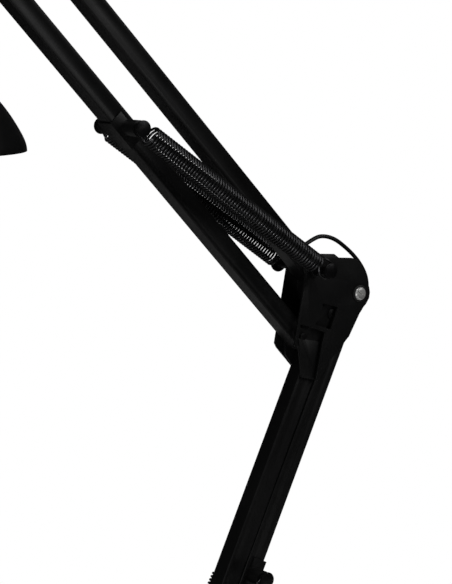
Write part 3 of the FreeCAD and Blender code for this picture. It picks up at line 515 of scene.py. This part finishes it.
def pinHook(coilRadius, coilAt):
    # A small hook that crosses to the axis and wraps the anchor pin.
    loop = springPlan["pinRadius"] + springPlan["wire"] + 0.2
    points = [
        (0.0, -coilRadius, coilAt), (-coilRadius * 0.72, -coilRadius * 0.66, coilAt - 0.4),
        (-coilRadius * 0.93, 0.0, coilAt - 1.0)]
    for degrees in (150, 185, 220, 255, 290, 325, 360, 392):
        turn = math.radians(degrees)
        points.append((loop * 1.06 * math.cos(turn), 0.0, loop * 1.06 * math.sin(turn)))
    return [Vector(point) * millimetre for point in points]


def makeSpring(name, stud, anchor, side, matrix):
    length = (anchor - stud).length / millimetre
    coilStart = springPlan["studEnd"]
    coilEnd = length - springPlan["pinEnd"]
    coilRadius = springPlan["outer"] - springPlan["wire"]
    turns = int((coilEnd - coilStart) / springPlan["pitch"])
    deselectAll()
    bpy.ops.mesh.primitive_circle_add(
        vertices=springPlan["sides"], radius=springPlan["wire"] * millimetre,
        location=(0, -coilRadius * millimetre, coilStart * millimetre), rotation=(0, math.pi / 2, 0))
    coil = bpy.context.object
    settle(coil)
    wind = coil.modifiers.new("wind", "SCREW")
    wind.screw_offset = (coilEnd - coilStart) / turns * millimetre
    wind.iterations = turns
    wind.steps = springPlan["steps"]
    wind.render_steps = springPlan["steps"]
    applyAll(coil)
    makeActive(coil)
    bpy.ops.object.mode_set(mode="EDIT")
    bpy.ops.mesh.select_all(action="SELECT")
    bpy.ops.mesh.remove_doubles(threshold=0.000002)
    bpy.ops.mesh.fill_holes(sides=0)
    bpy.ops.mesh.normals_make_consistent(inside=False)
    bpy.ops.object.mode_set(mode="OBJECT")
    smoothBy(coil, 60)
    hookLine = linePoints("hookLine", studHook(coilRadius, coilStart, 1 if side > 0 else -1))
    hook = tubeAlong("hook", hookLine, springPlan["wire"] * millimetre, 10)
    spring = joinPieces(name, [coil, hook])
    spring.matrix_world = matrix
    settle(spring)
    farLine = [Vector((point.x, point.y, length * millimetre - point.z)) for point in linePoints(
        "farLine", pinHook(coilRadius, springPlan["pinEnd"]))]
    farHook = tubeAlong("farHook", farLine, springPlan["wire"] * millimetre, 10)
    farHook.matrix_world = matrix
    settle(farHook)
    return spring, farHook


for prefix, studNode, pinNode in (("upper", "upper_spring_stud", "upper_anchor_pin"),
                                  ("lower", "lower_spring_stud", "lower_anchor_pin")):
    stud = middleOf(studNode)
    anchor = middleOf(pinNode)
    hooks = []
    for sideName in ("near", "far"):
        nodeName = "%s_%s_spring" % (prefix, sideName)
        matrix = springFrame(stud, anchor, middleOf(nodeName).y)
        spring, farHook = makeSpring(nodeName + "_coil", stud, anchor, middleOf(nodeName).y, matrix)
        finishPiece(spring, [nodeName], None, materials["spring_steel"])
        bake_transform(spring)
        hooks.append(farHook)
    both = joinPieces(prefix + "_hooks_wire", hooks)
    finishPiece(both, [prefix + "_spring_hooks"], prefix + "_hooks", materials["spring_steel"])

# Sheet metal, bars and turned pieces keep their CAD shape with broken edges.
print("formed pieces")
edgePlan = {
    "elbow_bracket": 0.65, "near_guide": 0.3, "far_guide": 0.3, "upper_saddle": 0.35, "lower_saddle": 0.35,
    "head_bracket": 0.45, "head_shelf": 0.4, "base_bracket": 0.45, "shade_fork": 0.4, "tilt_tongue": 0.4,
    "rear_bar": 0.15, "front_bar": 0.15, "bottom_bar": 0.15, "top_bar": 0.15, "rear_bar_plugs": 0.25,
    "front_bar_plugs": 0.25, "bottom_bar_plugs": 0.25, "top_bar_plugs": 0.25, "elbow_screw": 0.25,
    "elbow_nuts": 0.3, "base_stud_nuts": 0.3, "spindle_nut_set": 0.3, "upper_spring_stud": 0.3,
    "lower_spring_stud": 0.3, "base_pivot_bolt": 0.3, "head_pivot_bolts": 0.3, "elbow_rivets": 0.3,
    "upper_anchor_pin": 0.25, "lower_anchor_pin": 0.25, "head_spindle": 0.3, "tilt_knob": 0.5,
    "switch_housing": 0.5, "switch_rocker": 0.4, "power_inlet": 0.2, "base_socket": 0.3, "swivel_post": 0.3,
    "rear_bar_sleeves": 0.3, "top_bar_sleeves": 0.3, "elbow_washers": 0.3, "base_washers": 0.3,
    "head_washers": 0.3, "heat_sink": 0.15, "led_board": 0.1, "base_weight": 0.8}
for nodeName, bevel in edgePlan.items():
    piece = formedCopy(nodeName, bevel, 4 if bevel > 0.44 else 2)
    finishPiece(piece, [nodeName], bodyOfNode[nodeName], materials[slotOfNode[nodeName]])

print("spun shells")
shadeLow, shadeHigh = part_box("shade")
shadeAxis = ((shadeLow.x + shadeHigh.x) / 2, 0.0)
shadeTop = shadeHigh.z / millimetre
shadePlan = {"wall": 1.0, "steps": 128}
shadeProfile = [
    (3.0, 0.0), (14.0, 0.0), (22.5, 0.0), (25.8, -0.4), (27.0, -2.6), (27.0, -5.0), (27.0, -14.0),
    (27.0, -22.0),
    (27.0, -26.5), (29.0, -31.0), (35.5, -36.0), (42.5, -42.0), (49.5, -48.5), (56.5, -55.5), (63.0, -63.0),
    (68.5, -70.5), (73.0, -78.0), (76.2, -84.0), (77.8, -88.5), (78.0, -91.0), (78.0, -92.0)]
shade = spunShell("shade_spun", [(radius, shadeTop + height) for radius, height in shadeProfile],
                  shadePlan["wall"], shadePlan["steps"], shadeAxis)
rim = shade.modifiers.new("rim", "BEVEL")
rim.width = 0.35 * millimetre
rim.segments = 2
rim.limit_method = "ANGLE"
rim.angle_limit = math.radians(50)
applyAll(shade)
smoothBy(shade, 40)
finishPiece(shade, ["shade"], "lamp_head", materials["black_shade"])
shade.data.materials.append(materials["shade_inside"])
axisPoint = Vector((shadeAxis[0], 0.0, 0.0))
for polygon in shade.data.polygons:
    outward = Vector((polygon.center.x - axisPoint.x, polygon.center.y, 0.0))
    inside = polygon.normal.x * outward.x + polygon.normal.y * outward.y < 0 or (
        polygon.normal.z < -0.6 and outward.length < 0.024)
    if inside and polygon.center.z < shadeHigh.z - 0.0008:
        polygon.material_index = 1

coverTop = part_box("base_cover")[1].z / millimetre
coverProfile = [
    (13.1, coverTop), (18.0, coverTop), (30.0, coverTop - 0.6), (48.0, coverTop - 2.0),
    (66.0, coverTop - 4.4),
    (82.0, coverTop - 7.4), (90.0, coverTop - 9.4), (93.8, coverTop - 11.4), (95.0, coverTop - 14.6),
    (95.0, coverTop - 17.5), (95.0, coverTop - 20.0), (95.0, 1.6), (94.9, 0.95)]
cover = spunShell("base_cover_spun", coverProfile, 1.4, 160)
finishPiece(cover, ["base_cover"], "base", materials["black_paint"])

padPiece = formedCopy("base_pad", 0.4)
finishPiece(padPiece, ["base_pad"], "base", materials["pad"])
lensPiece = formedCopy("diffuser", 0.4)
finishPiece(lensPiece, ["diffuser"], "lamp_head", materials["lens"])
ringPiece = formedCopy("retaining_ring", 0.3)
finishPiece(ringPiece, ["retaining_ring"], "lamp_head", materials["black_shade"])

print("floor and light")
deselectAll()
bpy.ops.mesh.primitive_circle_add(vertices=96, radius=0.8, fill_type="NGON", location=(0, 0, -0.0002))
floor = bpy.context.object
rename(floor, "floor")
settle(floor)
floorLook = {"base": (0.86, 0.86, 0.86), "worn": (0.82, 0.82, 0.82), "smooth": 0.7, "rough": 0.85,
             "scale": 60.0, "bump": 0.02, "specular": 0.1}
floorMaterial = grainMaterial("floorPaint", floorLook)
floor.data.materials.append(floorMaterial)
floorNodes = floorMaterial.node_tree.nodes
floorLift = floorNodes.new("ShaderNodeMath")  # a pale studio floor that sends no extra light onto the lamp
floorLift.operation = "MULTIPLY"
floorLift.inputs[1].default_value = 0.5
floorRays = floorNodes.new("ShaderNodeLightPath")
floorMaterial.node_tree.links.new(floorRays.outputs["Is Camera Ray"], floorLift.inputs[0])
floorShader = floorNodes["Principled BSDF"]
floorShader.inputs["Emission Color"].default_value = (1.0, 1.0, 1.0, 1.0)
floorMaterial.node_tree.links.new(floorLift.outputs[0], floorShader.inputs["Emission Strength"])

world = bpy.data.worlds.new("world")
scene.world = world
world.use_nodes = True
worldNodes = world.node_tree.nodes
worldLinks = world.node_tree.links
worldNodes.clear()
seen = worldNodes.new("ShaderNodeBackground")
seen.inputs["Color"].default_value = (1.0, 1.0, 1.0, 1.0)
seen.inputs["Strength"].default_value = 1.0
felt = worldNodes.new("ShaderNodeBackground")
felt.inputs["Color"].default_value = (1.0, 1.0, 1.0, 1.0)
felt.inputs["Strength"].default_value = 0.02
rays = worldNodes.new("ShaderNodeLightPath")
choose = worldNodes.new("ShaderNodeMixShader")
out = worldNodes.new("ShaderNodeOutputWorld")
worldLinks.new(rays.outputs["Is Camera Ray"], choose.inputs["Fac"])
worldLinks.new(felt.outputs["Background"], choose.inputs[1])
worldLinks.new(seen.outputs["Background"], choose.inputs[2])
worldLinks.new(choose.outputs["Shader"], out.inputs["Surface"])

lightPlan = {
    "key": {"place": (1.0, -1.3, 1.35), "aim": (0.1, 0.0, 0.45), "size": 1.0, "power": 6.2},
    "top": {"place": (-0.5, -0.2, 1.9), "aim": (0.0, 0.0, 0.45), "size": 0.8, "power": 5.2},
    "edge": {"place": (-1.35, -0.95, 0.2), "aim": (0.1, 0.0, 0.45), "size": 0.2, "power": 6.0}}
for lightName, plan in lightPlan.items():
    lightData = bpy.data.lights.new(lightName, "AREA")
    lightData.shape = "DISK"
    lightData.size = plan["size"]
    lightData.energy = plan["power"]
    light = bpy.data.objects.new(lightName, lightData)
    light.location = plan["place"]
    light.rotation_mode = "QUATERNION"
    light.rotation_quaternion = (Vector(plan["aim"]) - Vector(plan["place"])).to_track_quat("-Z", "Y")
    scene.collection.objects.link(light)

print("done")
